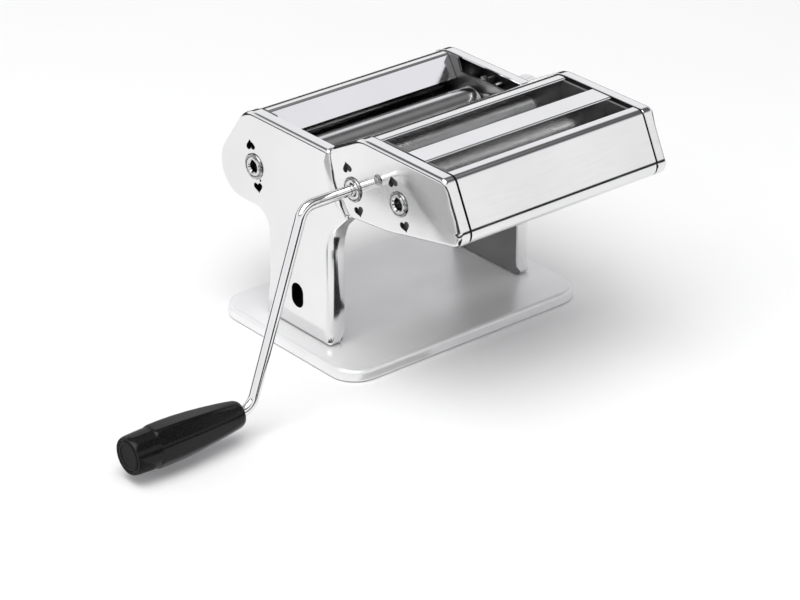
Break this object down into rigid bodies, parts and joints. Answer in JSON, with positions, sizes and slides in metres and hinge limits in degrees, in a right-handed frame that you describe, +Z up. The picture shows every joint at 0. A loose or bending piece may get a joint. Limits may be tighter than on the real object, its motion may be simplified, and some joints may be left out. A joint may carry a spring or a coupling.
{
  "type": "pasta roller machine",
  "caption": "Hand-cranked table machine that rolls dough between adjustable smooth rollers and cuts it in a lift-off head with wide and narrow cutters.",
  "frame": {"origin": "centre of the base footprint on the surface it stands on", "axes": "+X along the rollers from the crank side to the knob side, -Y towards the cutter head at the front, +Z up"},
  "size_m": [0.399, 0.2497, 0.1733],
  "materials": {
    "chromed_panel": "polished, over pressed steel",
    "zinc_steel": "zinc plated",
    "polished_roller": "polished",
    "crank_chrome": "mirror polished",
    "gear_steel": "oiled",
    "socket_metal": "satin",
    "foot_rubber": "matte",
    "black_grip": "glossy moulded",
    "knob_plastic": "glossy moulded",
    "comb_plastic": "matte"
  },
  "bodies": {
    "machine_body": {"base_tray": "chromed_panel", "base_underplate": "zinc_steel", "foot_front_left": "foot_rubber", "foot_front_right": "foot_rubber", "foot_rear_left": "foot_rubber", "foot_rear_right": "foot_rubber", "left_side_panel": "chromed_panel", "right_side_panel": "chromed_panel", "left_inner_plate": "zinc_steel", "right_inner_plate": "zinc_steel", "rear_cover": "chromed_panel", "rear_scraper": "zinc_steel", "front_scraper": "zinc_steel", "tie_rod_leg": "zinc_steel", "tie_rod_front": "zinc_steel", "tie_rod_rear": "zinc_steel", "main_socket_ring": "socket_metal", "rear_roller_bush": "socket_metal", "left_head_rail": "zinc_steel", "right_head_rail": "zinc_steel", "index_plate": "zinc_steel"},
    "rear_roller": {"rear_roller": "polished_roller", "rear_roller_gear": "gear_steel"},
    "roller_carriage": {"left_bearing_block": "zinc_steel", "right_bearing_block": "zinc_steel"},
    "front_roller": {"front_roller": "polished_roller", "front_roller_gear": "gear_steel"},
    "gap_adjuster": {"adjuster_spindle": "zinc_steel", "left_snail_cam": "zinc_steel", "right_snail_cam": "zinc_steel"},
    "gap_knob": {"gap_knob": "knob_plastic"},
    "cutter_head": {"head_left_panel": "chromed_panel", "head_right_panel": "chromed_panel", "head_left_plate": "zinc_steel", "head_right_plate": "zinc_steel", "wide_socket_ring": "socket_metal", "narrow_socket_ring": "socket_metal", "head_stud": "socket_metal", "head_tie_rod": "zinc_steel", "head_front_cover": "chromed_panel", "head_bridge_cover": "chromed_panel", "head_rear_cover": "chromed_panel", "wide_rear_comb": "comb_plastic", "wide_front_comb": "comb_plastic", "narrow_rear_comb": "comb_plastic", "narrow_front_comb": "comb_plastic", "left_head_hook": "zinc_steel", "right_head_hook": "zinc_steel"},
    "wide_drive_cutter": {"wide_drive_cutter": "polished_roller", "wide_drive_gear": "gear_steel"},
    "wide_mate_cutter": {"wide_mate_cutter": "polished_roller", "wide_mate_gear": "gear_steel"},
    "narrow_drive_cutter": {"narrow_drive_cutter": "polished_roller", "narrow_drive_gear": "gear_steel"},
    "narrow_mate_cutter": {"narrow_mate_cutter": "polished_roller", "narrow_mate_gear": "gear_steel"},
    "crank": {"crank_rod": "crank_chrome"},
    "crank_grip": {"crank_grip": "black_grip", "grip_end_cap": "black_grip"}
  },
  "joints": [
    {"name": "rear_roller_spin", "type": "hinge", "parent": "machine_body", "child": "rear_roller", "pos_m": [0, 0.0466, 0.1146], "axis": [1, 0, 0], "continuous": true},
    {"name": "gap_knob_turn", "type": "hinge", "parent": "machine_body", "child": "gap_adjuster", "pos_m": [0, -0.01105, 0.13048], "axis": [-1, 0, 0], "range_deg": [0, 280]},
    {"name": "carriage_slide", "type": "slide", "parent": "machine_body", "child": "roller_carriage", "axis": [0, 0.9641, -0.2656], "range_m": [0, 0.00361]},
    {"name": "front_roller_spin", "type": "hinge", "parent": "roller_carriage", "child": "front_roller", "pos_m": [0, 0.01478, 0.12336], "axis": [1, 0, 0], "continuous": true},
    {"name": "gap_knob_pull", "type": "slide", "parent": "gap_adjuster", "child": "gap_knob", "axis": [1, 0, 0], "range_m": [0, 0.004], "stiffness_N_per_m": 500, "springref_m": -0.003},
    {"name": "head_lift", "type": "slide", "parent": "machine_body", "child": "cutter_head", "axis": [0, 0, 1], "range_m": [0, 0.04]},
    {"name": "wide_cutter_spin", "type": "hinge", "parent": "cutter_head", "child": "wide_drive_cutter", "pos_m": [0, -0.0589, 0.1352], "axis": [1, 0, 0], "continuous": true},
    {"name": "wide_mate_spin", "type": "hinge", "parent": "cutter_head", "child": "wide_mate_cutter", "pos_m": [0, -0.0795, 0.13231], "axis": [1, 0, 0], "continuous": true},
    {"name": "narrow_cutter_spin", "type": "hinge", "parent": "cutter_head", "child": "narrow_drive_cutter", "pos_m": [0, -0.105, 0.1414], "axis": [1, 0, 0], "continuous": true},
    {"name": "narrow_mate_spin", "type": "hinge", "parent": "cutter_head", "child": "narrow_mate_cutter", "pos_m": [0, -0.1256, 0.1385], "axis": [1, 0, 0], "continuous": true},
    {"name": "crank_pull", "type": "slide", "parent": "wide_drive_cutter", "child": "crank", "axis": [-1, 0, 0], "range_m": [0, 0.02]},
    {"name": "grip_spin", "type": "hinge", "parent": "crank", "child": "crank_grip", "pos_m": [-0.202, -0.0804, 0.0192], "axis": [1, 0, 0], "continuous": true}
  ],
  "couplings": [
    {"joint": "front_roller_spin", "follows": "rear_roller_spin", "ratio": -1},
    {"joint": "wide_mate_spin", "follows": "wide_cutter_spin", "ratio": -1},
    {"joint": "narrow_mate_spin", "follows": "narrow_cutter_spin", "ratio": -1},
    {"joint": "gap_knob_turn", "follows": "carriage_slide", "rad_per_m": 1352.6}
  ]
}
